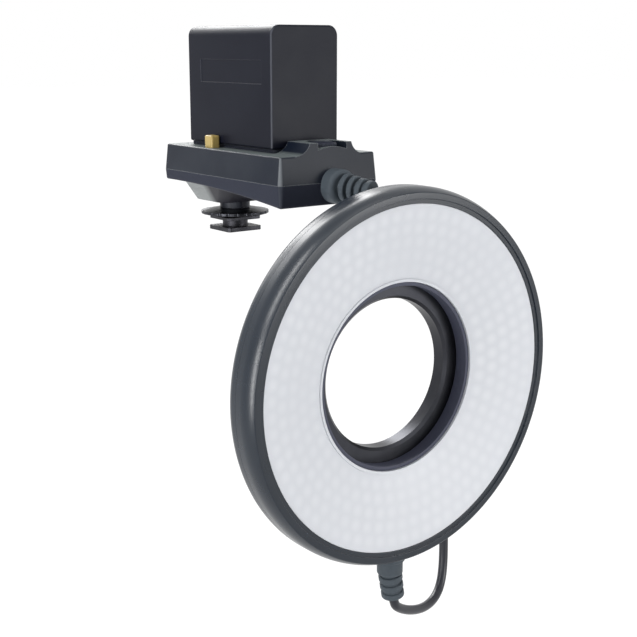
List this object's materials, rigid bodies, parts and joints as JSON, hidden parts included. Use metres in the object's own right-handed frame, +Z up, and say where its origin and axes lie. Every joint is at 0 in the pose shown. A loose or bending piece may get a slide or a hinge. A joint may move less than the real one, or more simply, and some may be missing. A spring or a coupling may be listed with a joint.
{
  "type": "macro led ring light",
  "caption": "Dished LED ring head on a lens adapter, joined by a short cord to a shoe-mounted control unit with a slide-on battery pack.",
  "frame": {"origin": "on the lens axis, where the adapter seats against the lens's front rim", "axes": "the ring shines towards -Y, +Y points back along the lens axis, +Z is up towards the control unit, +X is to the side on which the cord runs"},
  "size_m": [0.157, 0.1501, 0.2558],
  "materials": {
    "black_plastic": "satin moulded",
    "grey_plastic": "satin moulded",
    "diffuser": "frosted",
    "amber_plastic": "polished",
    "black_metal": "black anodised",
    "dark_steel": "black painted",
    "steel": "plated",
    "rubber": "matte moulded",
    "board": "solder mask",
    "lamp": "clear with phosphor",
    "part": "moulded",
    "brass": "gold plated",
    "cell": "wrapped"
  },
  "bodies": {
    "light": {"ring_front_bezel": "black_plastic", "ring_diffuser": "diffuser", "ring_aperture_tube": "black_plastic", "ring_rear_housing": "black_plastic", "ring_led_board": "board", "ring_led_lamps": "lamp", "ring_screws": "steel", "adapter_retainer": "black_plastic", "retainer_screws": "steel", "ring_cord_relief": "rubber", "cord": "rubber", "unit_cord_relief": "rubber", "unit_upper_case": "black_plastic", "unit_lower_case": "black_plastic", "case_screws": "steel", "unit_circuit_board": "board", "board_screws": "steel", "board_components": "part", "dimmer_potentiometer": "part", "release_spring": "steel", "battery_plate": "black_plastic", "plate_screws": "steel", "contact_blades": "brass", "shoe_boss": "grey_plastic", "shoe_collar": "black_plastic", "shoe_foot": "dark_steel", "foot_screws": "steel"},
    "lens_adapter": {"lens_adapter_ring": "black_metal"},
    "dial": {"dial_shaft": "steel", "brightness_dial": "black_plastic"},
    "button": {"release_button": "amber_plastic"},
    "wheel": {"lock_wheel": "black_metal"},
    "clamp_plate": {"pressure_plate": "dark_steel"},
    "battery_pack": {"pack_case": "black_plastic", "pack_base": "black_plastic", "pack_terminals": "brass", "pack_cradle": "black_plastic", "pack_cells": "cell", "pack_end_board": "board", "pack_strips": "steel", "pack_leaves": "steel", "pack_screws": "steel"}
  },
  "joints": [
    {"name": "adapter_turn", "type": "hinge", "parent": "light", "child": "lens_adapter", "pos_m": [0, 0, 0], "axis": [0, 1, 0], "continuous": true},
    {"name": "dial_turn", "type": "hinge", "parent": "light", "child": "dial", "pos_m": [0.0024, 0.0453, 0.09], "axis": [0, 0, 1], "range_deg": [0, 270]},
    {"name": "button_press", "type": "slide", "parent": "light", "child": "button", "axis": [0, 0, -1], "range_m": [0, 0.002], "stiffness_N_per_m": 300, "springref_m": -0.003, "deforming": ["release_spring"]},
    {"name": "plate_slide", "type": "slide", "parent": "light", "child": "clamp_plate", "axis": [0, 0, -1], "range_m": [0, 0.00125]},
    {"name": "wheel_turn", "type": "hinge", "parent": "clamp_plate", "child": "wheel", "pos_m": [0, 0.1105, 0.0552], "axis": [0, 0, -1], "range_deg": [0, 360]},
    {"name": "pack_slide", "type": "slide", "parent": "light", "child": "battery_pack", "axis": [0, 1, 0], "range_m": [0, 0.01]}
  ],
  "couplings": [
    {"joint": "plate_slide", "follows": "wheel_turn", "m_per_rad": 0.00019894}
  ]
}
